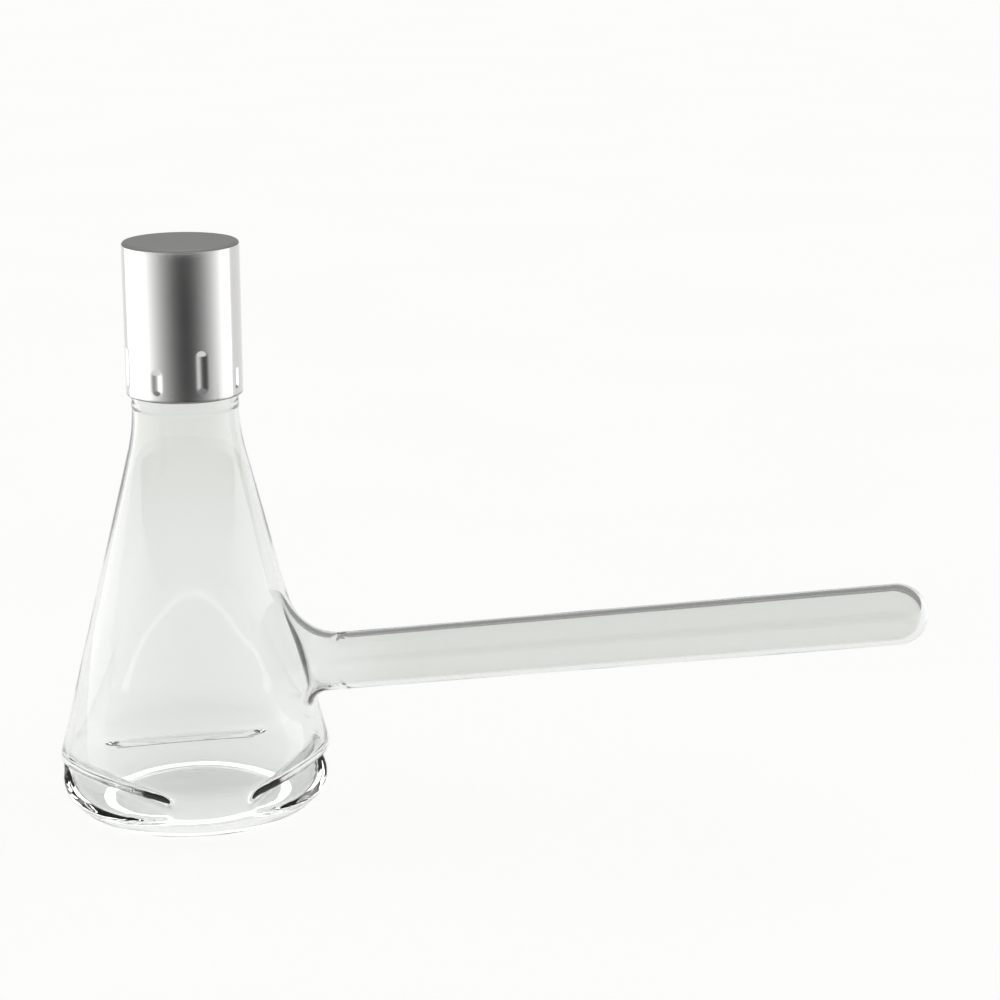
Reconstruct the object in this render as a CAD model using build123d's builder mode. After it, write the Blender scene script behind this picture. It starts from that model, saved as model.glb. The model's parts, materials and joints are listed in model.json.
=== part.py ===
from build123d import *

import math
import os

os.makedirs("parts", exist_ok=True)

# Side-arm culture flask with a slip-over steel closure.
# Origin: centre of the ring that the flask stands on. +Z runs up the neck, +X along the side arm.
# All sizes in millimetres.

# ---------------------------------------------------------------- flask body
base_diameter = 87.6  # widest part of the body, just above the base
corner_radius = 14.0  # outside radius between the base and the cone
cone_angle = 14.1  # degrees that the cone leans in from upright
shoulder_radius = 62.0  # outside radius between the cone and the neck
wall = 1.8  # body and neck glass
floor_thickness = 2.6
foot_width = 3.5  # flat ring that the flask stands on
punt_rise = 1.6  # how far the middle of the base is pushed up
body_top = 132.0  # where the neck is fused on

# ---------------------------------------------------------------- baffles pressed into the base corner
baffle_count = 3
baffle_reach = 31.5  # from the flask's axis to the inner edge of a crease
baffle_height = 12.8  # of the crease's edge above the table
baffle_nose_radius = 3.0
baffle_half_angle = 18.0  # degrees from level to each side of the crease
baffle_cutter_length = 120.0  # cutter only: longer than the body is wide

# ---------------------------------------------------------------- neck
neck_diameter = 33.2
neck_top = 181.9
rim_radius = 0.85  # fire-polished rim, almost a full half round

# ---------------------------------------------------------------- side arm
arm_diameter = 18.0
arm_wall = 1.4
arm_rise = 10.0  # degrees above level
arm_start_height = 43.3  # where the arm's axis crosses the flask's axis
arm_seam = 52.0  # along the arm's axis, where the tube is fused to its stub
arm_length = 236.0  # along the arm's axis, from the flask's axis to the tip
arm_tip_wall = 2.0
stub_diameter = 18.4  # the stub stays a little thicker than the tube fused to it
stub_flare_outside = 11.0
stub_flare_inside = 12.0
stub_root = 20.0  # along the arm's axis, well inside the body

# ---------------------------------------------------------------- steel closure
closure_diameter = 36.2
closure_top = 183.0
closure_height = 47.6
closure_sheet = 0.45
closure_shoulder = 1.2
hem_height = 1.2  # the lower edge is folded inwards once
flute_count = 8  # every second one is long
flute_radius = 3.6
flute_depth = 0.75
long_flute = (2.3, 18.3)  # lower and upper end of the forming pin above the closure's rim
short_flute = (0.8, 11.6)
first_flute_angle = 41.0  # degrees round from the side arm, a long one

# ---------------------------------------------------------------- spring inside the closure
finger_count = 4
first_finger_angle = 45.0  # degrees round from the side arm
spring_sheet = 0.3
hub_radius = 9.0
finger_width = 5.6
finger_bend = 2.0  # centre-line radius where a finger turns down
finger_top_radius = 17.15  # centre line, at the bend
finger_grip_radius = 16.98  # centre line, where the finger bows in to the neck
finger_tip_radius = 17.2
finger_tip_flare = 0.08  # how far the tip leans out for each millimetre down
finger_grip_height = 167.0
finger_tip_height = 156.0

# ---------------------------------------------------------------- worked out from the sizes above
base_radius = base_diameter / 2
neck_radius = neck_diameter / 2
arm_radius = arm_diameter / 2
closure_radius = closure_diameter / 2
closure_bottom = closure_top - closure_height
lean = math.radians(cone_angle)
corner_half_angle = math.radians((90 - cone_angle) / 2)
cone_foot_radius = base_radius - corner_radius + corner_radius / math.tan(corner_half_angle)

# Half profiles lie in the plane through the axis that points away from the side arm,
# so that the seam of each turned surface is clear of the arm.
half_plane = Plane(origin=(0, 0, 0), x_dir=(-1, 0, 0), z_dir=(0, 1, 0))

arm_tilt = math.radians(arm_rise)
arm_direction = Vector(math.cos(arm_tilt), 0, math.sin(arm_tilt))
arm_across = Vector(-math.sin(arm_tilt), 0, math.cos(arm_tilt))
arm_origin = Vector(0, 0, arm_start_height)
arm_axis = Axis(arm_origin, arm_direction)
arm_half_plane = Plane(origin=arm_origin, x_dir=arm_direction, z_dir=arm_direction.cross(arm_across))


def body_outline(inset, floor, top):
    """Draw the closed half outline of the body, inset from its outer surface, with its floor raised."""
    radius_at_table = cone_foot_radius - inset / math.cos(lean)
    round_radius = corner_radius - inset
    ring_radius = radius_at_table - floor * math.tan(lean) - round_radius / math.tan(corner_half_angle)
    dome_radius = ring_radius - foot_width
    neck = neck_radius - inset
    shoulder = shoulder_radius + inset
    cone_end_radius = neck + shoulder * (1 - math.cos(lean))
    cone_end_height = (radius_at_table - cone_end_radius) / math.tan(lean)
    dome_middle = (dome_radius / 2, floor + punt_rise * 3 / 4)
    punt = ThreePointArc((0, floor + punt_rise), dome_middle, (dome_radius, floor))
    foot = Line(punt @ 1, (ring_radius, floor))
    corner = JernArc(foot @ 1, foot % 1, round_radius, 90 + cone_angle)
    cone = Line(corner @ 1, (cone_end_radius, cone_end_height))
    turn = JernArc(cone @ 1, cone % 1, shoulder, -cone_angle)
    Polyline(turn @ 1, (neck, top), (0, top), punt @ 0)


def arm_plane(distance):
    """Plane square to the side arm, at a distance along its axis from the flask's axis."""
    return Plane(origin=arm_origin + arm_direction * distance, x_dir=(0, 1, 0), z_dir=arm_direction)


def junction_edges(part):
    """Edges where the arm's round meets the cone: neither straight nor circular."""
    return part.edges().filter_by(GeomType.BSPLINE) + part.edges().filter_by(GeomType.OTHER)


def crease_cutter(nose_radius):
    """Long level wedge with a rounded nose, square to +X, as a cutter for one baffle."""
    centre = baffle_reach + baffle_nose_radius
    slope = math.radians(baffle_half_angle)
    tangent_x = centre - nose_radius * math.sin(slope)
    tangent_y = nose_radius * math.cos(slope)
    mouth_x = base_radius + corner_radius
    mouth_y = tangent_y + (mouth_x - tangent_x) * math.tan(slope)
    side_plane = Plane(origin=(0, 0, baffle_height), x_dir=(1, 0, 0), z_dir=(0, -1, 0))
    with BuildPart() as cutter:
        with BuildSketch(side_plane):
            with BuildLine():
                nose = ThreePointArc(
                    (tangent_x, tangent_y), (centre - nose_radius, 0), (tangent_x, -tangent_y)
                )
                Polyline(nose @ 1, (mouth_x, -mouth_y), (mouth_x, mouth_y), nose @ 0)
            make_face()
        extrude(amount=baffle_cutter_length / 2, both=True)
    return cutter.part


# Cavity of the body: the inside surface of the cone and base, the bore of the stub, and
# the inner side of each crease, one wall away from the outer side.
inner_crease = crease_cutter(baffle_nose_radius + wall)

with BuildPart() as body_cavity:
    with BuildSketch(half_plane):
        with BuildLine():
            body_outline(wall, floor_thickness, body_top + 1)
        make_face()
    revolve(axis=Axis.Z)
    with BuildSketch(arm_plane(stub_root)):
        Circle(arm_radius - arm_wall)
    extrude(amount=arm_seam + 1 - stub_root)
    fillet(junction_edges(body_cavity), stub_flare_inside)
    with PolarLocations(0, baffle_count):
        add(inner_crease, mode=Mode.SUBTRACT)

# Flask body: blown cone with its stub drawn out, pressed baffles and a pushed-up base.
outer_crease = crease_cutter(baffle_nose_radius)

with BuildPart() as flask_body:
    with BuildSketch(half_plane):
        with BuildLine():
            body_outline(0, 0, body_top)
        make_face()
    revolve(axis=Axis.Z)
    with BuildSketch(arm_plane(stub_root)):
        Circle(stub_diameter / 2)
    extrude(amount=arm_seam - stub_root)
    fillet(junction_edges(flask_body), stub_flare_outside)
    with PolarLocations(0, baffle_count):
        add(outer_crease, mode=Mode.SUBTRACT)
    add(body_cavity.part, mode=Mode.SUBTRACT)

# Neck: a straight tube with a fire-polished rim, fused on at the shoulder.
with BuildPart() as neck_tube:
    with BuildSketch(Plane.XY.offset(body_top)):
        Circle(neck_radius)
        Circle(neck_radius - wall, mode=Mode.SUBTRACT)
    extrude(amount=neck_top - body_top)
    fillet(neck_tube.faces().sort_by(Axis.Z)[-1].edges(), rim_radius)

# Side arm: a closed round-ended tube, fused to the stub.
with BuildPart() as side_arm:
    with BuildSketch(arm_half_plane):
        with BuildLine():
            round_start = arm_length - arm_radius
            bore_radius = arm_radius - arm_wall
            bore_end = arm_length - arm_tip_wall
            middle = math.sqrt(0.5)
            outside = Line((arm_seam, arm_radius), (round_start, arm_radius))
            outer_round = ThreePointArc(
                outside @ 1,
                (round_start + arm_radius * middle, arm_radius * middle),
                (arm_length, 0),
            )
            tip = Line(outer_round @ 1, (bore_end, 0))
            bore_round_start = bore_end - bore_radius
            inner_round = ThreePointArc(
                tip @ 1,
                (bore_round_start + bore_radius * middle, bore_radius * middle),
                (bore_round_start, bore_radius),
            )
            bore = Line(inner_round @ 1, (arm_seam, bore_radius))
            Line(bore @ 1, outside @ 0)
        make_face()
    revolve(axis=arm_axis)


def flute_cutters(radius):
    """Upright round-ended pins set round the closure's skirt, long and short in turn."""
    pin_centre = closure_radius + flute_radius - flute_depth
    with BuildPart() as pins:
        for index in range(flute_count):
            low, high = long_flute if index % 2 == 0 else short_flute
            foot = closure_bottom + low + flute_radius
            length = high - low - 2 * flute_radius
            with PolarLocations(pin_centre, 1, first_flute_angle + index * 360 / flute_count):
                with Locations((0, 0, foot)):
                    Sphere(radius)
                    Cylinder(radius, length, align=(Align.CENTER, Align.CENTER, Align.MIN))
                with Locations((0, 0, foot + length)):
                    Sphere(radius)
    return pins.part


# Inside of the closure, kept one sheet away from the outer side of each flute.
inner_flutes = flute_cutters(flute_radius + closure_sheet)

with BuildPart() as closure_cavity:
    with BuildSketch(half_plane):
        with BuildLine():
            inner_radius = closure_radius - closure_sheet
            ceiling = closure_top - closure_sheet
            inner_shoulder = closure_shoulder - closure_sheet
            hem_radius = inner_radius - closure_sheet
            rim = Line((0, closure_bottom - 1), (hem_radius, closure_bottom - 1))
            hem = Line(rim @ 1, (hem_radius, closure_bottom + hem_height))
            step_out = Line(hem @ 1, (inner_radius, closure_bottom + hem_height))
            skirt = Line(step_out @ 1, (inner_radius, ceiling - inner_shoulder))
            shoulder_arc = JernArc(skirt @ 1, skirt % 1, inner_shoulder, 90)
            Polyline(shoulder_arc @ 1, (0, ceiling), rim @ 0)
        make_face()
    revolve(axis=Axis.Z)
    add(inner_flutes, mode=Mode.SUBTRACT)

# Closure shell: a drawn steel cup with pressed grip flutes round its skirt.
outer_flutes = flute_cutters(flute_radius)

with BuildPart() as closure_shell:
    with BuildSketch(Plane.XY.offset(closure_bottom)):
        Circle(closure_radius)
    extrude(amount=closure_height)
    fillet(closure_shell.edges().sort_by(Axis.Z)[-1], closure_shoulder)
    add(outer_flutes, mode=Mode.SUBTRACT)
    add(closure_cavity.part, mode=Mode.SUBTRACT)

# Finger spring: one stamping, a hub welded under the closure's top with fingers bent down
# round the neck and bowed in to grip it.
spring_middle = closure_top - closure_sheet - spring_sheet / 2
bend_centre_radius = finger_top_radius - finger_bend

with BuildPart() as one_finger:
    with BuildSketch(Plane.XZ):
        with BuildLine():
            strip = Line((hub_radius / 2, spring_middle), (bend_centre_radius, spring_middle))
            bend = JernArc(strip @ 1, strip % 1, finger_bend, -90)
            Spline(
                bend @ 1,
                (finger_grip_radius, finger_grip_height),
                (finger_tip_radius, finger_tip_height),
                tangents=(bend % 1, (finger_tip_flare, -1)),
            )
        trace(line_width=spring_sheet)
    extrude(amount=finger_width / 2, both=True)

with BuildPart() as finger_spring:
    with BuildSketch(Plane.XY.offset(spring_middle - spring_sheet / 2)):
        Circle(hub_radius)
    extrude(amount=spring_sheet)
    with PolarLocations(0, finger_count, first_finger_angle):
        add(one_finger.part)

flask_body.part.label = "flask_body"
neck_tube.part.label = "neck_tube"
side_arm.part.label = "side_arm"
closure_shell.part.label = "closure_shell"
finger_spring.part.label = "finger_spring"

export_step(flask_body.part, "parts/flask_body.step")
export_step(neck_tube.part, "parts/neck_tube.step")
export_step(side_arm.part, "parts/side_arm.step")
export_step(closure_shell.part, "parts/closure_shell.step")
export_step(finger_spring.part, "parts/finger_spring.step")
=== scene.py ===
import json
import math

import bmesh
import bpy
import numpy as np
from bpy.props import FloatProperty, FloatVectorProperty, IntProperty, PointerProperty
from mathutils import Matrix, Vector


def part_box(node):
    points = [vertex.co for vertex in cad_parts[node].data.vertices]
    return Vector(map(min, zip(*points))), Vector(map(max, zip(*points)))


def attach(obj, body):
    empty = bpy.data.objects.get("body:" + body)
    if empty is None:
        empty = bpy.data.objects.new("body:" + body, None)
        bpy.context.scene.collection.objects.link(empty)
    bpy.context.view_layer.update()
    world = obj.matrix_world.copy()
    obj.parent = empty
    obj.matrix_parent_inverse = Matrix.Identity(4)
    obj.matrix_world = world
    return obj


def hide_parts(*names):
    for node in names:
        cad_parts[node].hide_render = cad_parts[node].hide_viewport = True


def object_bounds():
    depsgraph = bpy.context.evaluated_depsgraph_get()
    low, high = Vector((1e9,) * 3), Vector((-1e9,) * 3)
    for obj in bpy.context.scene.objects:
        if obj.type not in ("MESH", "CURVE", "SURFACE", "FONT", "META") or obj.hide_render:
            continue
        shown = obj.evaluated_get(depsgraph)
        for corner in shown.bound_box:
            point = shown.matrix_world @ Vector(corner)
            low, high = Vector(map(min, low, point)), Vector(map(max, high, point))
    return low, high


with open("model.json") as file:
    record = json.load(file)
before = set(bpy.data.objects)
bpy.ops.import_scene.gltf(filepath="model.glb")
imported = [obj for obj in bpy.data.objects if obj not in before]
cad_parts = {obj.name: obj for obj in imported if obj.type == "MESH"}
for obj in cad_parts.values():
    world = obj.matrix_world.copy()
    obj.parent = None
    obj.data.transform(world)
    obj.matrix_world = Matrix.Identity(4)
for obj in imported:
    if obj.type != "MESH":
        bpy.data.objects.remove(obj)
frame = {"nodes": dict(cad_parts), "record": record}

bl_info = {
    "name": "Side-arm culture flask",
    "version": (1, 0, 0),
    "blender": (4, 5, 0),
    "location": "View3D > Sidebar > Flask",
    "description": "Builds a baffled glass flask with a side arm and a steel closure round its CAD frame",
    "category": "Add Mesh",
}

CAD_BOX = [list(corner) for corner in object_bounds()]
BODY_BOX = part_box("flask_body")
NECK_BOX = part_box("neck_tube")
CLOSURE_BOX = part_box("closure_shell")
MOUNTS = {mount["name"]: mount for mount in frame["record"]["mounts"]}

MM = 0.001


# ------------------------------------------------------------------ sizes and finishes

def length(name, description, default):
    """A length property in metres."""
    return FloatProperty(name=name, description=description, default=default, unit="LENGTH", precision=5)


def angle(name, description, degrees):
    """An angle property, given in degrees and kept in radians."""
    return FloatProperty(name=name, description=description, default=math.radians(degrees), subtype="ANGLE")


def number(name, description, default):
    """A plain number property."""
    return FloatProperty(name=name, description=description, default=default, precision=3)


def colour(name, description, default):
    """A colour property."""
    return FloatVectorProperty(
        name=name, description=description, default=default, subtype="COLOR", min=0, max=1
    )


class FlaskSizes(bpy.types.PropertyGroup):
    """Sizes of the glass."""

    base_radius: length("Base radius", "Widest part of the body", -BODY_BOX[0].x)
    corner_radius: length("Corner radius", "Round between base and cone", 14 * MM)
    cone_lean: angle("Cone lean", "How far the cone leans in from upright", 14.1)
    neck_radius: length("Neck radius", "Outside of the neck", NECK_BOX[1].y)
    neck_top: length("Neck top", "Height of the fire-polished rim", NECK_BOX[1].z)
    neck_seam: length("Neck seam", "Height where the neck is fused on", NECK_BOX[0].z)
    seam_outside: length("Seam outside", "How far the fused seam stands out of the wall", 0.16 * MM)
    seam_inside: length("Seam inside", "How far the fused seam stands in from the wall", 0.1 * MM)
    shoulder_radius: length("Shoulder radius", "Round between cone and neck", 62 * MM)
    wall: length("Wall", "Glass thickness of body and neck", 1.8 * MM)
    floor: length("Floor", "Glass thickness of the base", 2.6 * MM)
    wave: length("Wave", "Unevenness of the wall's inner side", 0.12 * MM)
    foot_width: length("Foot width", "Flat ring the flask stands on", 3.5 * MM)
    punt_rise: length("Punt rise", "How far the middle of the base is pushed up", 1.6 * MM)
    columns: IntProperty(name="Columns", description="Grid columns round the body", default=216)


class BaffleSizes(bpy.types.PropertyGroup):
    """Sizes of the creases pressed into the base corner."""

    count: IntProperty(name="Count", description="Creases round the base", default=3)
    reach: length("Reach", "From the axis to the inner edge of a crease", 31.5 * MM)
    height: length("Height", "Of a crease's edge above the table", 12.8 * MM)
    nose: length("Nose radius", "Round at the inner edge of a crease", 3 * MM)
    half_angle: angle("Half angle", "From level to each side of a crease", 18)
    lip: length("Lip softness", "Fire-softened round where a crease meets the wall", 1.3 * MM)


class ArmSizes(bpy.types.PropertyGroup):
    """Sizes of the side arm and its flared stub."""

    radius: length("Radius", "Outside of the tube", MOUNTS["side_arm"]["dims"]["r_mm"] * MM)
    wall: length("Wall", "Glass thickness of the tube", 1.4 * MM)
    tip: length("Tip", "From the flask's axis to the tip, along the arm", 236 * MM)
    tip_wall: length("Tip wall", "Glass thickness at the tip", 2.0 * MM)
    seam: length("Seam", "From the flask's axis to the fused seam, along the arm", 52 * MM)
    seam_outside: length("Seam outside", "How far the fused seam stands out of the wall", 0.14 * MM)
    seam_inside: length("Seam inside", "How far the fused seam stands in from the wall", 0.1 * MM)
    flare_above: length("Flare above", "Fillet radius over the arm", 17 * MM)
    flare_beside: length("Flare beside", "Fillet radius at the arm's sides", 10.5 * MM)
    flare_below: length("Flare below", "Fillet radius under the arm", 9.5 * MM)
    window_half_angle: angle("Window", "Half width of the grid window cut for the arm", 45)
    window_low: length("Window low", "Lower edge of the grid window", 25 * MM)
    window_high: length("Window high", "Upper edge of the grid window", 83 * MM)


class ClosureSizes(bpy.types.PropertyGroup):
    """Sizes of the steel closure."""

    radius: length("Radius", "Outside of the skirt", CLOSURE_BOX[1].y)
    top: length("Top", "Height of the closed end", CLOSURE_BOX[1].z)
    bottom: length("Bottom", "Height of the open rim", CLOSURE_BOX[0].z)
    sheet: length("Sheet", "Steel thickness", 0.45 * MM)
    shoulder: length("Shoulder", "Round between top and skirt", 1.2 * MM)
    hem: length("Hem", "Height of the folded lower edge", 1.2 * MM)
    dish: length("Dish", "How far the middle of the top is drawn down", 0.15 * MM)
    weld_count: IntProperty(name="Welds", description="Spot welds that hold the spring", default=4)
    weld_radius: length("Weld radius", "From the axis to each spot weld in the top", 7.5 * MM)
    weld_depth: length("Weld depth", "How far a spot weld draws the top down", 0.08 * MM)
    weld_width: length("Weld width", "Spread of a spot weld's dimple", 0.9 * MM)
    flute_count: IntProperty(name="Flutes", description="Grip flutes, long and short in turn", default=8)
    flute_depth: length("Flute depth", "How far a flute is pressed in", 0.42 * MM)
    flute_width: length("Flute width", "Across a flute at the surface", 4.4 * MM)
    long_low: length("Long flute low", "Lower end above the rim", 2.7 * MM)
    long_high: length("Long flute high", "Upper end above the rim", 16.4 * MM)
    short_low: length("Short flute low", "Lower end above the rim", 1.9 * MM)
    short_high: length("Short flute high", "Upper end above the rim", 10.6 * MM)
    first_flute: angle("First flute", "Round from the side arm to a long flute", 41)
    flute_band: length("Flute band", "Height of the finely gridded part of the skirt", 19 * MM)
    columns: IntProperty(name="Columns", description="Grid columns round the closure", default=360)


class Finishes(bpy.types.PropertyGroup):
    """Colours and surface values of the materials."""

    # The glass's tint: one colour on the body, a deeper one up towards the neck and out along the side arm.
    glass_body_tint: colour("Glass, lighter", "What one lighter wall lets through", (0.925, 0.935, 0.925))
    glass_neck_arm_tint_colour: colour("Glass, thick", "What one thick wall lets through", (0.865, 0.875, 0.855))
    glass_shade: colour("Glass shade", "What the glass lets through to the table", (0.997, 1.0, 0.997))
    glass_ior: number("Glass IOR", "Borosilicate glass", 1.474)
    steel: colour("Steel", "Polished stainless steel", (0.70, 0.695, 0.69))
    spring_steel: colour("Spring steel", "Satin spring strip", (0.5, 0.495, 0.49))
    # Painted shade: the dark colour painted along the lowest edge of the closure and of the spring.
    painted_edge_shade: colour("Edge_shade", "Shade along a steel edge", (0.09, 0.085, 0.08))
    table: colour("Table", "Pale table", (0.93, 0.93, 0.925))


class StageSizes(bpy.types.PropertyGroup):
    """The camera, the table, the light tent and the reflector paper."""

    azimuth: angle("Azimuth", "Camera's turn round the object", 16.5)
    elevation: angle("Elevation", "Camera's height above the horizon", 14.68)
    distance: length("Distance", "Camera to the point it looks at", 0.7578)
    lens: number("Lens", "Focal length in millimetres", 90)
    aim_along: length("Aim along", "Aim point beyond the model's middle, along the arm", 8.0 * MM)
    aim_up: length("Aim up", "Aim point above the model's middle", 16.7 * MM)
    tent: colour("Tent", "Colour of the light tent", (1.0, 1.0, 0.995))
    horizon: number("Horizon", "Brightness of the tent at table height", 0.30)
    overhead: number("Overhead", "Brightness added straight above", 0.12)
    table_glow: number("Table glow", "Light through the table from below", 0.70)
    cove_radius: length("Cove radius", "From the flask's axis to the reflector paper", 0.42)
    cove_height: length("Cove height", "Of the reflector paper", 0.15)
    cove_left: angle("Cove left", "How far the paper reaches round to the left", 129)
    cove_right: angle("Cove right", "How far the paper reaches round to the right", 114)
    cove_middle: angle("Cove middle", "Turn to the right of the paper's darkest part", 12)
    cove_least: number("Cove least", "Glow of the darkest part", 0.075)
    cove_rise: number("Cove rise", "Glow added one radian from the darkest part", 0.871)
    cove_greatest: number("Cove greatest", "Glow at the sides", 2.1)


GROUPS = {
    "flask_sizes": FlaskSizes,
    "baffle_sizes": BaffleSizes,
    "arm_sizes": ArmSizes,
    "closure_sizes": ClosureSizes,
    "flask_finishes": Finishes,
    "flask_stage": StageSizes,
}


# ------------------------------------------------------------------ mesh helpers

def grid_quads(rows, columns, closed):
    """Quads of a grid numbered row by row; closed joins the last column to the first."""
    index = np.arange(rows * columns).reshape(rows, columns)
    if closed:
        index = np.concatenate([index, index[:, :1]], axis=1)
    corners = (index[:-1, :-1], index[:-1, 1:], index[1:, 1:], index[1:, :-1])
    return np.stack(corners, axis=-1)


def flat(grid):
    """A closed grid of rows by columns of points, as a list of points and a list of quads."""
    rows, columns = grid.shape[:2]
    return grid.reshape(-1, 3), grid_quads(rows, columns, True).reshape(-1, 4)


def make_piece(name, parts, material):
    """Join parts of (points, quads) into one closed mesh: equal points are welded, normals turned out."""
    offsets = np.cumsum([0] + [len(points) for points, _ in parts[:-1]])
    points = np.concatenate([points for points, _ in parts])
    quads = np.concatenate([quads + offset for (_, quads), offset in zip(parts, offsets)])
    mesh = bpy.data.meshes.new(name)
    mesh.from_pydata(points.tolist(), [], quads.tolist())
    shape = bmesh.new()
    shape.from_mesh(mesh)
    bmesh.ops.remove_doubles(shape, verts=shape.verts, dist=1e-6)
    bmesh.ops.recalc_face_normals(shape, faces=shape.faces)
    open_edges = [edge for edge in shape.edges if len(edge.link_faces) != 2]
    if open_edges:
        raise RuntimeError(f"{name} has {len(open_edges)} open edges")
    shape.to_mesh(mesh)
    shape.free()
    mesh.shade_smooth()
    mesh.materials.append(material)
    piece = bpy.data.objects.new(name, mesh)
    bpy.context.scene.collection.objects.link(piece)
    return piece


def arc(centre, radius, start, end, count):
    """Points on an arc, from start to end in degrees, the first left out."""
    turn = np.radians(np.linspace(start, end, count + 1)[1:])
    return np.stack([centre[0] + radius * np.cos(turn), centre[1] + radius * np.sin(turn)], axis=1)


def line(start, end, count):
    """Evenly spaced points from start to end, the first left out."""
    share = np.linspace(0, 1, count + 1)[1:, None]
    return (1 - share) * np.array(start) + share * np.array(end)


def turned(profile, columns):
    """Carry a profile of (radius, height) round the Z axis: rows by columns of points."""
    theta = np.linspace(0, 2 * np.pi, columns, endpoint=False)
    radius = profile[:, :1]
    height = np.broadcast_to(profile[:, 1:], (len(profile), columns))
    return np.stack([radius * np.cos(theta), radius * np.sin(theta), height], axis=-1)


# ------------------------------------------------------------------ glass surfaces

def wall_facts(sizes, inset, floor):
    """Sizes of one side of the body's wall, inset from the outer surface, with its base at a floor height.

    at_table is the radius at which the cone, carried straight down, would meet the table, and slope
    is how fast it narrows. ring is the outer radius of the flat foot: the corner's arc touches both
    the foot and the cone, so it starts corner / tan(half their angle) in from where they would meet.
    cone_end is the height at which the cone touches the shoulder's arc.
    """
    lean = sizes.cone_lean
    slope = math.tan(lean)
    half_tangent = math.tan((math.pi / 2 - lean) / 2)
    foot_edge = sizes.base_radius - sizes.corner_radius + sizes.corner_radius / half_tangent
    at_table = foot_edge - inset / math.cos(lean)
    corner = sizes.corner_radius - inset
    neck = sizes.neck_radius - inset
    shoulder = sizes.shoulder_radius + inset
    cone_end_radius = neck + shoulder * (1 - math.cos(lean))
    return {
        "at_table": at_table, "slope": slope, "floor": floor, "corner": corner,
        "ring": at_table - floor * slope - corner / half_tangent,
        "neck": neck, "shoulder": shoulder, "cone_end": (at_table - cone_end_radius) / slope,
    }


def body_profile(sizes, facts, arm):
    """Half profile of one side of the wall, from the middle of the base up to the neck's rim.

    A dome, rising from its edge as 1 - share^2, the flat foot ring, an arc of the corner radius,
    the straight cone, an arc of the shoulder radius and the straight neck, with closer rows at its
    seam. The cone has one row at each edge of the arm's window.
    """
    lean = math.degrees(sizes.cone_lean)
    ring, floor, corner = facts["ring"], facts["floor"], facts["corner"]
    dome = ring - sizes.foot_width
    share = np.linspace(0, 1, 19)[:, None]
    dome_points = np.concatenate([dome * share, floor + sizes.punt_rise * (1 - share ** 2)], axis=1)
    centre = (ring, floor + corner)
    corner_points = arc(centre, corner, -90, lean, 34)
    cone_foot = corner_points[-1]

    def cone_point(height):
        return (facts["at_table"] - facts["slope"] * height, height)

    neck, shoulder = facts["neck"], facts["shoulder"]
    shoulder_height = facts["cone_end"] + shoulder * math.sin(sizes.cone_lean)
    shoulder_points = arc((neck + shoulder, shoulder_height), shoulder, 180 + lean, 180, 14)
    near_seam = 2.5 * MM
    seam_low, seam_high = sizes.neck_seam - near_seam, sizes.neck_seam + near_seam
    arc_left = 0.02 * MM
    return np.concatenate([
        dome_points,
        line((dome, floor), (ring, floor), 3),
        corner_points,
        line(cone_foot, cone_point(arm.window_low), 9),
        line(cone_point(arm.window_low), cone_point(arm.window_high), 30),
        line(cone_point(arm.window_high), cone_point(facts["cone_end"]), 14),
        shoulder_points[shoulder_points[:, 1] < seam_low],
        line((neck + arc_left, seam_low), (neck, seam_high), 12),
        line((neck, seam_high), (neck, sizes.neck_top - sizes.wall / 2), 16),
    ])


def rim_profile(sizes):
    """Half circle over the rim, from the outside of the neck to the inside."""
    centre = (sizes.neck_radius - sizes.wall / 2, sizes.neck_top - sizes.wall / 2)
    return arc(centre, sizes.wall / 2, 0, 180, 12)[:-1]


def press_baffles(points, baffles, inset):
    """Press the creases in: no point stays further out along a baffle's direction than its wedge.

    The wedge is a circular nose with two straight sides. The lesser of the point's own distance
    and the wedge's is taken with a soft minimum, (a + b - sqrt((a - b)^2 + lip^2)) / 2, which fades
    in from 0.6 to 0.9 of the wedge's distance.
    """
    nose = baffles.nose + inset
    centre = baffles.reach + baffles.nose
    slope = baffles.half_angle
    rise = np.abs(points[..., 2] - baffles.height)
    round_part = centre - np.sqrt(np.clip(nose ** 2 - rise ** 2, 0, None))
    straight_part = centre - nose * math.sin(slope) + (rise - nose * math.cos(slope)) / math.tan(slope)
    wedge = np.where(rise < nose * math.cos(slope), round_part, straight_part)
    pressed = points.copy()
    for index in range(baffles.count):
        turn = 2 * math.pi * index / baffles.count
        out = np.array([math.cos(turn), math.sin(turn)])
        reach = pressed[..., 0] * out[0] + pressed[..., 1] * out[1]
        soft = (reach + wedge - np.sqrt((reach - wedge) ** 2 + baffles.lip ** 2)) / 2
        near_wedge = np.clip((reach - 0.6 * wedge) / (0.3 * wedge), 0, 1)
        change = (soft - reach) * near_wedge
        pressed[..., 0] += change * out[0]
        pressed[..., 1] += change * out[1]
    return pressed


def waviness(points):
    """Slight unevenness of blown glass: a sum of four slow waves round and up the wall, -1 to 1."""
    turn = np.arctan2(points[..., 1], points[..., 0])
    height = points[..., 2] / MM
    waves = (
        np.sin(2 * turn + height / 23 + 0.7)
        + np.sin(3 * turn - height / 15 + 2.1)
        + 0.7 * np.sin(5 * turn + height / 31 + 4.0)
        + 0.6 * np.sin(height / 9 + 1.3)
    )
    return waves / 3.3


def waved(points, sizes, arm):
    """Move the wall in and out by its waviness, fading in over 12 mm above the arm's window.

    The wave is also less within 15 mm of the axis, by the share of that distance.
    """
    away = np.linalg.norm(points[..., :2], axis=-1)
    above = np.clip((points[..., 2] - arm.window_high) / (12 * MM), 0, 1)
    change = waviness(points) * above * np.clip(away / (15 * MM), 0, 1) * sizes.wave
    moved = points.copy()
    moved[..., :2] *= (1 + change / np.maximum(away, 1 * MM))[..., None]
    return moved


def seam_bead(distance, height):
    """A low round ridge left by fusing two tubes: height times exp(-(distance / 0.7 mm)^2)."""
    return height * np.exp(-((distance / (0.7 * MM)) ** 2))


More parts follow.
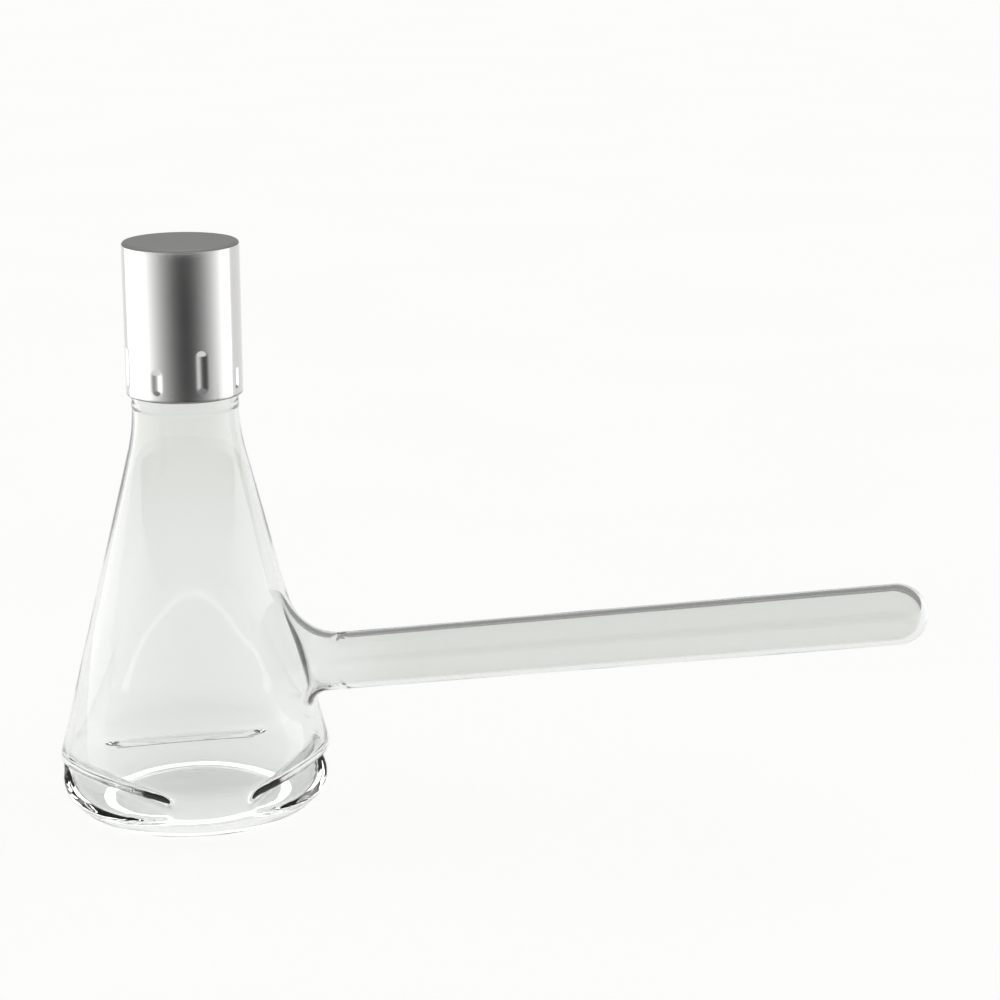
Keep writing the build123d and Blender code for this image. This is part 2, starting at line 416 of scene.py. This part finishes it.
class ArmFrame:
    """The side arm's own directions: along it, across it in the upright plane, and sideways."""

    def __init__(self):
        along = np.array(MOUNTS["side_arm"]["axis"], float)
        self.along = along / np.linalg.norm(along)
        self.across = np.array([-self.along[2], 0, self.along[0]])
        self.side = np.array([0, 1.0, 0])
        on_axis = np.array(MOUNTS["side_arm"]["pos_m"], float)
        self.start = on_axis - self.along * (on_axis[0] / self.along[0])

    def point(self, distance, radius, psi):
        """Points at a distance along the arm, at a radius from its axis, turned psi from the top."""
        shape = np.broadcast_arrays(distance, radius, psi)
        distance, radius, psi = (part[..., None] for part in shape)
        return (
            self.start + distance * self.along
            + radius * (np.cos(psi) * self.across + np.sin(psi) * self.side)
        )

    def turn_of(self, points):
        """The angle psi of each point, from the top."""
        away = points - self.start
        return np.arctan2(away @ self.side, away @ self.across)

    def cone_distance(self, radius, psi, facts):
        """Distance along the arm at which a line parallel to it leaves the cone.

        The line is at a radius from the arm's axis, and the cone is x^2 + y^2 = (a - k z)^2. Put
        together they are a quadratic, two d^2 + one d + none = 0, in the distance d.
        """
        foot = self.point(np.zeros_like(psi), radius, psi)
        slope, at_table = facts["slope"], facts["at_table"]
        gap = at_table - slope * foot[..., 2]
        two = self.along[0] ** 2 - (slope * self.along[2]) ** 2
        one = 2 * (foot[..., 0] * self.along[0] + slope * gap * self.along[2])
        none = foot[..., 0] ** 2 + foot[..., 1] ** 2 - gap ** 2
        return (-one + np.sqrt(one ** 2 - 4 * two * none)) / (2 * two)


def flare_radius(arm, psi, extra):
    """Fillet radius round the arm, and extra: above, beside and below are blended by cos^2 psi."""
    up = np.clip(np.cos(psi), 0, None) ** 2
    down = np.clip(-np.cos(psi), 0, None) ** 2
    return (
        arm.flare_beside + (arm.flare_above - arm.flare_beside) * up
        + (arm.flare_below - arm.flare_beside) * down + extra
    )


def arm_grid(arm, place, facts, window_edge, inset):
    """One side of the arm's wall as a grid of rings: from the window's edge to the closed tip.

    First the rings lie on the cone, between the window's edge and the flare. Then the flare is a
    quarter circle sheared to start along the cone and end along the tube. Then the tube and its
    half-round tip.
    """
    psi = place.turn_of(window_edge)
    tube = arm.radius - inset
    flare = flare_radius(arm, psi, inset)
    loop = place.point(place.cone_distance(tube + flare, psi, facts), tube + flare, psi)
    edge_turn = np.arctan2(window_edge[:, 1], window_edge[:, 0])
    loop_turn = np.arctan2(loop[:, 1], loop[:, 0])
    share = np.linspace(0, 1, 9)[:-1, None]
    turn = (1 - share) * edge_turn + share * loop_turn
    height = (1 - share) * window_edge[:, 2] + share * loop[:, 2]
    radius = facts["at_table"] - facts["slope"] * height
    on_cone = np.stack([radius * np.cos(turn), radius * np.sin(turn), height], axis=-1)
    on_cone[0] = window_edge

    quarter = np.linspace(0, np.pi / 2, 19)[:, None]
    flare_ring = tube + flare * (1 - np.sin(quarter))
    flare_distance = place.cone_distance(flare_ring, np.broadcast_to(psi, flare_ring.shape), facts)
    flare_distance = flare_distance + flare * (1 - np.cos(quarter))
    on_flare = place.point(flare_distance, flare_ring, psi)

    tip_wall = arm.tip_wall if inset else 0.0
    round_start = arm.tip - tip_wall - tube
    tube_start = flare_distance[-1]
    past_seam = arm.seam + 3 * MM
    share = np.linspace(0, 1, 13)[1:, None]
    near = (1 - share) * tube_start + share * past_seam
    far = np.linspace(past_seam, round_start, 37)[1:, None]
    distance = np.concatenate([near, np.broadcast_to(far, (len(far), len(psi)))])
    bead = seam_bead(distance - arm.seam, -arm.seam_inside if inset else arm.seam_outside)
    on_tube = place.point(distance, tube + bead, psi)

    tip_turn = np.linspace(0, np.pi / 2, 15)[1:, None]
    on_tip = place.point(round_start + tube * np.sin(tip_turn), tube * np.cos(tip_turn), psi)
    return flat(np.concatenate([on_cone, on_flare, on_tube, on_tip]))


def window_rows(profile, arm):
    """First and last row of the arm's window in a profile of the body."""
    edges = (arm.window_low, arm.window_high)
    return [int(np.argmin(np.abs(profile[:, 1] - edge))) for edge in edges]


def window_loop(low, high, half, columns):
    """Row and column numbers once round a window's edge, with columns counted from -half to half."""
    wide = np.arange(-half, half)
    tall = np.arange(low, high)
    rows = np.concatenate([np.full(2 * half, low), tall, np.full(2 * half, high), tall[::-1] + 1])
    cols = np.concatenate([wide, np.full(high - low, half), wide[::-1] + 1, np.full(high - low, -half)])
    return rows, cols % columns


def build_glass():
    """The whole glass as one closed skin: outside, rim and inside, with the arm joined on both sides."""
    scene = bpy.context.scene
    sizes, baffles, arm = scene.flask_sizes, scene.baffle_sizes, scene.arm_sizes
    outside = wall_facts(sizes, 0, 0)
    inside = wall_facts(sizes, sizes.wall, sizes.floor)
    outer = body_profile(sizes, outside, arm)
    inner = body_profile(sizes, inside, arm)
    outer[:, 0] += seam_bead(outer[:, 1] - sizes.neck_seam, sizes.seam_outside)
    inner[:, 0] -= seam_bead(inner[:, 1] - sizes.neck_seam, sizes.seam_inside)
    outer_points = press_baffles(turned(outer, sizes.columns), baffles, 0)
    rim_points = turned(rim_profile(sizes), sizes.columns)
    inner_points = waved(turned(inner, sizes.columns), sizes, arm)
    inner_points = press_baffles(inner_points, baffles, sizes.wall)
    grid = np.concatenate([outer_points, rim_points, inner_points[::-1]])

    place = ArmFrame()
    half = round(arm.window_half_angle / (2 * math.pi / sizes.columns))
    low_out, high_out = window_rows(outer, arm)
    high_in, low_in = (len(grid) - 1 - row for row in window_rows(inner, arm))
    quads = grid_quads(len(grid), sizes.columns, True)
    keep = np.ones(quads.shape[:2], bool)
    arms = []
    windows = ((low_out, high_out, outside, 0), (low_in, high_in, inside, arm.wall))
    for low, high, facts, inset in windows:
        keep[low:high, :half] = False
        keep[low:high, -half:] = False
        rows, columns = window_loop(low, high, half, sizes.columns)
        arms.append(arm_grid(arm, place, facts, grid[rows, columns], inset))
    body = (grid.reshape(-1, 3), quads[keep])
    glass = make_piece("flask_glass", [body, *arms], glass_material())
    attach(glass, "flask")
    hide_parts("flask_body", "neck_tube", "side_arm")


# ------------------------------------------------------------------ closure surfaces

def flute_depths(theta, height, sizes):
    """How deep each point of the skirt is pressed in, 0 to 1.

    Across a flute the depth falls from 1 on its centre line to 0 at half its width as
    cos^2(pi d / width), where d is the distance to the centre line's nearest point.
    """
    depth = np.zeros(np.broadcast(theta, height).shape)
    step = 2 * math.pi / sizes.flute_count
    half = sizes.flute_width / 2
    for index in range(sizes.flute_count):
        is_long = index % 2 == 0
        low = sizes.bottom + (sizes.long_low if is_long else sizes.short_low) + half
        high = sizes.bottom + (sizes.long_high if is_long else sizes.short_high) - half
        turn = np.angle(np.exp(1j * (theta - sizes.first_flute - index * step)))
        across = turn * sizes.radius
        beyond = height - np.clip(height, low, high)
        distance = np.hypot(across, beyond)
        depth = np.maximum(depth, np.cos(np.clip(distance / half, 0, 1) * np.pi / 2) ** 2)
    return depth


def top_dents(points, sizes):
    """How far the top is drawn down: a slight dish, and a round dimple at each spot weld.

    The dish is dish * (1 - (r / edge)^2) inside the shoulder, and each dimple is
    depth * exp(-(d / width)^2), where d is the distance to its weld.
    """
    edge = sizes.radius - sizes.shoulder
    radius = np.hypot(points[..., 0], points[..., 1])
    depth = sizes.dish * np.clip(1 - (radius / edge) ** 2, 0, 1)
    for index in range(sizes.weld_count):
        turn = 2 * math.pi * index / sizes.weld_count
        across = points[..., 0] - sizes.weld_radius * math.cos(turn)
        along = points[..., 1] - sizes.weld_radius * math.sin(turn)
        distance = np.hypot(across, along)
        depth = depth + sizes.weld_depth * np.exp(-((distance / sizes.weld_width) ** 2))
    return depth


def closure_profile(sizes):
    """Half profile of the steel, from the middle of the top, down the outside and up the inside.

    Straight lines, with arcs at the shoulder, inside it, and round the fold of the lower edge. The
    fold lies flat against the inside and ends in a small bevel. Rows are closer where the flutes are.
    """
    outer, inner = sizes.radius, sizes.radius - sizes.sheet
    folded = inner - sizes.sheet
    shoulder, inner_shoulder = sizes.shoulder, sizes.shoulder - sizes.sheet
    top, ceiling = sizes.top, sizes.top - sizes.sheet
    band, hem, fold = sizes.bottom + sizes.flute_band, sizes.bottom + sizes.hem, sizes.bottom + sizes.sheet
    bevel = 0.1 * MM
    return np.concatenate([
        np.array([[0.0, top]]),
        line((0, top), (outer - shoulder, top), 24),
        arc((outer - shoulder, top - shoulder), shoulder, 90, 0, 14),
        line((outer, top - shoulder), (outer, band), 12),
        line((outer, band), (outer, fold), 60),
        arc((inner, fold), sizes.sheet, 0, -180, 12),
        line((folded, fold), (folded, hem - bevel), 3),
        line((folded, hem - bevel), (folded + bevel, hem), 1),
        line((folded + bevel, hem), (inner, hem), 2),
        line((inner, hem), (inner, band), 56),
        line((inner, band), (inner, ceiling - inner_shoulder), 10),
        arc((inner - inner_shoulder, ceiling - inner_shoulder), inner_shoulder, 0, 90, 10),
        line((inner - inner_shoulder, ceiling), (0, ceiling), 12),
    ])


def build_closure():
    """Drawn steel cup with a folded rim and pressed grip flutes."""
    sizes = bpy.context.scene.closure_sizes
    points = turned(closure_profile(sizes), sizes.columns)
    theta = np.linspace(0, 2 * np.pi, sizes.columns, endpoint=False)
    radius = np.linalg.norm(points[..., :2], axis=-1)
    on_skirt = (radius > sizes.radius - 1.5 * sizes.sheet) & (points[..., 2] > sizes.bottom + sizes.hem)
    depth = flute_depths(theta, points[..., 2], sizes) * on_skirt * sizes.flute_depth
    points[..., :2] *= (1 - depth / np.maximum(radius, 1 * MM))[..., None]
    on_top = points[..., 2] > sizes.top - 2 * sizes.sheet
    points[..., 2] -= top_dents(points, sizes) * on_top
    closure = make_piece("closure_cup", [flat(points)], steel_material())
    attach(closure, "closure")
    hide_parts("closure_shell")


# ------------------------------------------------------------------ materials

def new_material(name):
    """A node material with an empty tree: the material, its tree and its output node."""
    material = bpy.data.materials.new(name)
    material.use_nodes = True
    tree = material.node_tree
    tree.nodes.clear()
    return material, tree, tree.nodes.new("ShaderNodeOutputMaterial")


def new_group(name, inputs, outputs):
    """A shader node group with named float inputs and outputs: the tree and its two end nodes."""
    tree = bpy.data.node_groups.new(name, "ShaderNodeTree")
    for label, value in inputs:
        socket = tree.interface.new_socket(label, in_out="INPUT", socket_type="NodeSocketFloat")
        socket.default_value = value
    for label in outputs:
        tree.interface.new_socket(label, in_out="OUTPUT", socket_type="NodeSocketFloat")
    return tree, tree.nodes.new("NodeGroupInput"), tree.nodes.new("NodeGroupOutput")


def feed(tree, socket, value):
    """Link a value to a socket, or set the socket if the value is a number or a colour."""
    if isinstance(value, bpy.types.NodeSocket):
        tree.links.new(value, socket)
    elif isinstance(value, (int, float)):
        socket.default_value = value
    else:
        socket.default_value = (*value, 1)


def math_node(tree, operation, first, second=0.0):
    """A Math node; each input is a socket or a number."""
    node = tree.nodes.new("ShaderNodeMath")
    node.operation = operation
    feed(tree, node.inputs[0], first)
    feed(tree, node.inputs[1], second)
    return node.outputs[0]


def coordinates(tree):
    """The object's own X, Y and Z, as three outputs."""
    place = tree.nodes.new("ShaderNodeTexCoord")
    split = tree.nodes.new("ShaderNodeSeparateXYZ")
    tree.links.new(place.outputs["Object"], split.inputs[0])
    return split.outputs


def noise(tree, scale, detail=2.0):
    """Soft noise over the object's own coordinates; the scale is a socket or a number."""
    place = tree.nodes.new("ShaderNodeTexCoord")
    node = tree.nodes.new("ShaderNodeTexNoise")
    node.inputs["Detail"].default_value = detail
    feed(tree, node.inputs["Scale"], scale)
    tree.links.new(place.outputs["Object"], node.inputs["Vector"])
    return node.outputs["Fac"]


def scaled(tree, value, low, high):
    """Map a 0 to 1 value to low to high, clamped."""
    node = tree.nodes.new("ShaderNodeMapRange")
    node.inputs["To Min"].default_value = low
    node.inputs["To Max"].default_value = high
    tree.links.new(value, node.inputs["Value"])
    return node.outputs["Result"]


def mixed(tree, factor, first, second):
    """A colour between two, by a factor; each colour is a socket or three numbers."""
    node = tree.nodes.new("ShaderNodeMix")
    node.data_type = "RGBA"
    tree.links.new(factor, node.inputs["Factor"])
    feed(tree, node.inputs["A"], first)
    feed(tree, node.inputs["B"], second)
    return node.outputs["Result"]


def bumped(tree, height, strength, distance):
    """A normal bent by a height."""
    node = tree.nodes.new("ShaderNodeBump")
    node.inputs["Strength"].default_value = strength
    node.inputs["Distance"].default_value = distance
    tree.links.new(height, node.inputs["Height"])
    return node.outputs["Normal"]


def edge_shade_group():
    """Painted shade along a lower edge, fading over a width above it, broken up, as one mask."""
    name = "edge_grime"
    if name in bpy.data.node_groups:
        return bpy.data.node_groups[name]
    tree, start, end = new_group(name, [("Edge", 0.0), ("Width", 0.001)], ["Mask"])
    rise = math_node(tree, "SUBTRACT", coordinates(tree)["Z"], start.outputs["Edge"])
    left = math_node(tree, "SUBTRACT", 1.15, math_node(tree, "DIVIDE", rise, start.outputs["Width"]))
    broken = math_node(tree, "MULTIPLY", left, math_node(tree, "ADD", noise(tree, 220.0), 0.45))
    clipped = math_node(tree, "MINIMUM", math_node(tree, "MAXIMUM", broken, 0.0), 0.9)
    tree.links.new(clipped, end.inputs["Mask"])
    return tree


def handling_group():
    """Fine marks of handling on a smooth surface: soft patches and tiny specks, as one mask."""
    name = "handling_marks"
    if name in bpy.data.node_groups:
        return bpy.data.node_groups[name]
    tree, start, end = new_group(name, [("Patch size", 60.0), ("Speck size", 900.0)], ["Mask"])
    patches = noise(tree, start.outputs["Patch size"], detail=3.0)
    specks = noise(tree, start.outputs["Speck size"], detail=1.0)
    sharp = math_node(tree, "MULTIPLY", math_node(tree, "SUBTRACT", specks, 0.68), 6.0)
    clipped = math_node(tree, "MAXIMUM", sharp, 0.0)
    tree.links.new(math_node(tree, "ADD", patches, clipped), end.inputs["Mask"])
    return tree


def turning_group():
    """Fine level lines of drawing and polishing, thinning out over the surface, as one value."""
    name = "turning_lines"
    if name in bpy.data.node_groups:
        return bpy.data.node_groups[name]
    tree, start, end = new_group(name, [("Lines", 5000.0), ("Break up", 30.0)], ["Height"])
    x, y, z = coordinates(tree)
    squares = math_node(tree, "ADD", math_node(tree, "MULTIPLY", x, x), math_node(tree, "MULTIPLY", y, y))
    path = math_node(tree, "SUBTRACT", math_node(tree, "SQRT", squares), z)
    lines = tree.nodes.new("ShaderNodeTexNoise")
    lines.noise_dimensions = "1D"
    lines.inputs["Detail"].default_value = 4
    lines.inputs["Roughness"].default_value = 0.7
    lines.inputs["Scale"].default_value = 1.0
    tree.links.new(math_node(tree, "MULTIPLY", path, start.outputs["Lines"]), lines.inputs["W"])
    patches = noise(tree, start.outputs["Break up"])
    tree.links.new(math_node(tree, "MULTIPLY", lines.outputs["Fac"], patches), end.inputs["Height"])
    return tree


def neck_arm_tint_group():
    """Where the glass is tinted deeper: up the cone towards the neck and out along the side arm, as one
    mask.
    """
    name = "glass_thickness"
    if name in bpy.data.node_groups:
        return bpy.data.node_groups[name]
    inputs = [("Body", 0.0), ("Neck", 1.0), ("Flask", 0.0), ("Arm", 1.0)]
    tree, start, end = new_group(name, inputs, ["Mask"])
    place = coordinates(tree)
    ramps = []
    for axis, low, high in (("Z", "Body", "Neck"), ("X", "Flask", "Arm")):
        ramp = tree.nodes.new("ShaderNodeMapRange")
        ramp.interpolation_type = "SMOOTHSTEP"
        tree.links.new(place[axis], ramp.inputs["Value"])
        tree.links.new(start.outputs[low], ramp.inputs["From Min"])
        tree.links.new(start.outputs[high], ramp.inputs["From Max"])
        ramps.append(ramp.outputs["Result"])
    tree.links.new(math_node(tree, "MAXIMUM", *ramps), end.inputs["Mask"])
    return tree


def add_group(tree, group, **values):
    """Place a node group with its inputs set by name (underscores for spaces): its one output."""
    node = tree.nodes.new("ShaderNodeGroup")
    node.node_tree = group
    for label, value in values.items():
        node.inputs[label.replace("_", " ")].default_value = value
    return node.outputs[0]


def glass_material():
    """Clear flame-polished borosilicate: slow waves in the surface, light water marks, a faint shadow.

    The flask throws no solid shadow: a shadow ray passes straight through, only slightly tinted.
    """
    finishes = bpy.context.scene.flask_finishes
    material, tree, output = new_material("clear_borosilicate")
    shader = tree.nodes.new("ShaderNodeBsdfPrincipled")
    shader.inputs["Transmission Weight"].default_value = 1
    shader.inputs["IOR"].default_value = finishes.glass_ior
    marks = add_group(tree, handling_group(), Patch_size=70.0, Speck_size=1400.0)
    tree.links.new(scaled(tree, marks, 0.0, 0.05), shader.inputs["Roughness"])
    # The tint deepens up towards the neck and out along the side arm.
    darker = add_group(tree, neck_arm_tint_group(), Neck=0.13, Body=0.07, Arm=0.075, Flask=0.04)
    tone = mixed(tree, darker, finishes.glass_body_tint, finishes.glass_neck_arm_tint_colour)
    tree.links.new(tone, shader.inputs["Base Color"])
    waves = noise(tree, 45.0, detail=1.0)
    tree.links.new(bumped(tree, waves, 0.25, 0.6 * MM), shader.inputs["Normal"])
    clear = tree.nodes.new("ShaderNodeBsdfTransparent")
    clear.inputs["Color"].default_value = (*finishes.glass_shade, 1)
    path = tree.nodes.new("ShaderNodeLightPath")
    mix = tree.nodes.new("ShaderNodeMixShader")
    tree.links.new(path.outputs["Is Shadow Ray"], mix.inputs["Fac"])
    tree.links.new(shader.outputs[0], mix.inputs[1])
    tree.links.new(clear.outputs[0], mix.inputs[2])
    tree.links.new(mix.outputs[0], output.inputs["Surface"])
    return material


def metal(name, steel, rough_low, rough_high, lines, strength, edge):
    """Stainless steel with fine turning lines, handling marks and painted shade along its lowest edge."""
    material, tree, output = new_material(name)
    shader = tree.nodes.new("ShaderNodeBsdfPrincipled")
    shader.inputs["Metallic"].default_value = 1
    turning = add_group(tree, turning_group(), Lines=lines, Break_up=35.0)
    marks = add_group(tree, handling_group(), Patch_size=90.0, Speck_size=1500.0)
    # Painted shade along the lowest edge: it darkens the steel there and fades upwards.
    painted_shade = add_group(tree, edge_shade_group(), Edge=edge, Width=0.9 * MM)
    tree.links.new(scaled(tree, marks, rough_low, rough_high), shader.inputs["Roughness"])
    tone = mixed(tree, turning, [0.9 * value for value in steel], steel)
    # The painted shade darkens the base colour along the lowest edge.
    shaded = mixed(tree, painted_shade, tone, bpy.context.scene.flask_finishes.painted_edge_shade)
    tree.links.new(shaded, shader.inputs["Base Color"])
    tree.links.new(bumped(tree, turning, strength, 0.05 * MM), shader.inputs["Normal"])
    tree.links.new(shader.outputs[0], output.inputs["Surface"])
    return material


def steel_material():
    """Polished drawn stainless steel of the closure."""
    scene = bpy.context.scene
    steel, edge = scene.flask_finishes.steel, scene.closure_sizes.bottom
    return metal("polished_stainless", steel, 0.10, 0.18, lines=5200.0, strength=0.25, edge=edge)


def spring_material():
    """Satin stainless spring strip."""
    steel, edge = bpy.context.scene.flask_finishes.spring_steel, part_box("finger_spring")[0].z
    return metal("satin_spring_steel", steel, 0.25, 0.42, lines=9000.0, strength=0.4, edge=edge)


def table_material():
    """Pale matt table with a very faint mottle, lit a little from below."""
    scene = bpy.context.scene
    material, tree, output = new_material("pale_table")
    shader = tree.nodes.new("ShaderNodeBsdfPrincipled")
    shader.inputs["Roughness"].default_value = 0.7
    shader.inputs["Specular IOR Level"].default_value = 0.1
    shader.inputs["Emission Strength"].default_value = scene.flask_stage.table_glow
    pale = scene.flask_finishes.table
    tone = mixed(tree, noise(tree, 6.0), [0.98 * value for value in pale], pale)
    tree.links.new(tone, shader.inputs["Base Color"])
    tree.links.new(tone, shader.inputs["Emission Color"])
    tree.links.new(shader.outputs[0], output.inputs["Surface"])
    return material


def cove_material():
    """Graded reflector paper: it glows by each point's own glow value."""
    material, tree, output = new_material("graded_paper")
    glow = tree.nodes.new("ShaderNodeAttribute")
    glow.attribute_name = "glow"
    shader = tree.nodes.new("ShaderNodeEmission")
    tree.links.new(glow.outputs["Fac"], shader.inputs["Strength"])
    tree.links.new(shader.outputs[0], output.inputs["Surface"])
    return material


# ------------------------------------------------------------------ stage

def stage_mesh(name, points, quads, material):
    """A mesh of the stage, kept out of the object."""
    mesh = bpy.data.meshes.new(name)
    mesh.from_pydata(points.tolist(), [], quads.tolist())
    mesh.shade_smooth()
    mesh.materials.append(material)
    item = bpy.data.objects.new(name, mesh)
    bpy.context.scene.collection.objects.link(item)
    return item


def light_tent(settings):
    """World light: grey at the horizon, brighter overhead with the square of the height."""
    world = bpy.data.worlds.new("light_tent")
    bpy.context.scene.world = world
    world.use_nodes = True
    tree = world.node_tree
    place = tree.nodes.new("ShaderNodeTexCoord")
    split = tree.nodes.new("ShaderNodeSeparateXYZ")
    tree.links.new(place.outputs["Generated"], split.inputs[0])
    height = math_node(tree, "MAXIMUM", split.outputs["Z"], 0.0)
    square = math_node(tree, "MULTIPLY", height, height)
    overhead = math_node(tree, "MULTIPLY", square, settings.overhead)
    background = tree.nodes["Background"]
    tree.links.new(math_node(tree, "ADD", overhead, settings.horizon), background.inputs["Strength"])
    background.inputs["Color"].default_value = (*settings.tent, 1)


def build_cove(settings):
    """Curved paper round the front that the steel mirrors: dark in the middle, bright to the sides.

    Its glow is least + rise * turn^2, up to a greatest value, where turn is counted in radians from
    the darkest part. Only mirrored rays see it.
    """
    turn = np.linspace(-settings.cove_left, settings.cove_right, 121)
    glow = settings.cove_least + settings.cove_rise * (turn - settings.cove_middle) ** 2
    glow = np.minimum(glow, settings.cove_greatest)
    direction = settings.azimuth - math.pi / 2 + turn
    around = settings.cove_radius * np.stack([np.cos(direction), np.sin(direction)], axis=-1)
    points = np.concatenate([
        np.insert(around, 2, height, axis=-1) for height in (1 * MM, settings.cove_height)
    ])
    quads = grid_quads(2, len(turn), False).reshape(-1, 4)
    cove = stage_mesh("cove", points, quads, cove_material())
    values = cove.data.attributes.new("glow", "FLOAT", "POINT")
    values.data.foreach_set("value", np.tile(glow, 2).astype(np.float32))
    cove.visible_camera = False
    cove.visible_transmission = False
    cove.visible_diffuse = False
    cove.visible_shadow = False


def build_stage():
    """Pale table, reflector paper, light tent and the camera."""
    scene = bpy.context.scene
    settings = scene.flask_stage
    azimuth, elevation = settings.azimuth, settings.elevation
    middle = (Vector(CAD_BOX[0]) + Vector(CAD_BOX[1])) / 2
    aim = Vector((middle.x + settings.aim_along, middle.y, middle.z + settings.aim_up))
    back = Vector((
        math.sin(azimuth) * math.cos(elevation),
        -math.cos(azimuth) * math.cos(elevation),
        math.sin(elevation),
    ))

    table_rings = np.array([[0.0, 0.0], [0.5, 0.0], [2.0, 0.0], [9.0, 0.0]])
    stage_mesh("table", *flat(turned(table_rings, 96)), table_material())
    build_cove(settings)
    light_tent(settings)

    lens = bpy.data.cameras.new("camera")
    lens.lens = settings.lens
    lens.sensor_width = 36
    lens.clip_start, lens.clip_end = 0.01, 20
    camera = bpy.data.objects.new("camera", lens)
    camera.location = aim + back * settings.distance
    camera.rotation_mode = "QUATERNION"
    camera.rotation_quaternion = (-back).to_track_quat("-Z", "Y")
    scene.collection.objects.link(camera)
    scene.camera = camera
    scene.view_settings.view_transform = "Standard"


# ------------------------------------------------------------------ operators and panel

class FLASK_OT_glass(bpy.types.Operator):
    """Build the flask's glass: body, baffles, neck and side arm"""

    bl_idname = "flask.glass"
    bl_label = "Glass"

    def execute(self, context):
        build_glass()
        return {"FINISHED"}


class FLASK_OT_closure(bpy.types.Operator):
    """Build the steel closure with its grip flutes"""

    bl_idname = "flask.closure"
    bl_label = "Closure"

    def execute(self, context):
        build_closure()
        return {"FINISHED"}


class FLASK_OT_spring(bpy.types.Operator):
    """Finish the finger spring inside the closure"""

    bl_idname = "flask.spring"
    bl_label = "Finger spring"

    def execute(self, context):
        spring = frame["nodes"]["finger_spring"]
        spring.data.materials.clear()
        spring.data.materials.append(spring_material())
        return {"FINISHED"}


class FLASK_OT_stage(bpy.types.Operator):
    """Build the table, the reflector paper, the light tent and the camera"""

    bl_idname = "flask.stage"
    bl_label = "Stage"

    def execute(self, context):
        build_stage()
        return {"FINISHED"}


class FLASK_PT_panel(bpy.types.Panel):
    """The flask's sizes and build steps"""

    bl_label = "Side-arm flask"
    bl_idname = "FLASK_PT_panel"
    bl_space_type = "VIEW_3D"
    bl_region_type = "UI"
    bl_category = "Flask"

    def draw(self, context):
        for operator in OPERATORS:
            self.layout.operator(operator.bl_idname)
        for name in GROUPS:
            settings = getattr(context.scene, name)
            box = self.layout.box()
            for label in settings.__annotations__:
                box.prop(settings, label)


OPERATORS = (FLASK_OT_glass, FLASK_OT_closure, FLASK_OT_spring, FLASK_OT_stage)


def register():
    """Register the property groups, operators and panel, and hang the groups on the scene."""
    for group in GROUPS.values():
        bpy.utils.register_class(group)
    for name, group in GROUPS.items():
        setattr(bpy.types.Scene, name, PointerProperty(type=group))
    for item in (*OPERATORS, FLASK_PT_panel):
        bpy.utils.register_class(item)


def unregister():
    """Undo register."""
    for item in reversed((*OPERATORS, FLASK_PT_panel)):
        bpy.utils.unregister_class(item)
    for name in GROUPS:
        delattr(bpy.types.Scene, name)
    for group in reversed(list(GROUPS.values())):
        bpy.utils.unregister_class(group)


def main():
    """Build every piece."""
    register()
    bpy.ops.flask.glass()
    bpy.ops.flask.closure()
    bpy.ops.flask.spring()
    bpy.ops.flask.stage()
    bpy.context.view_layer.update()


if __name__ == "__main__":
    main()
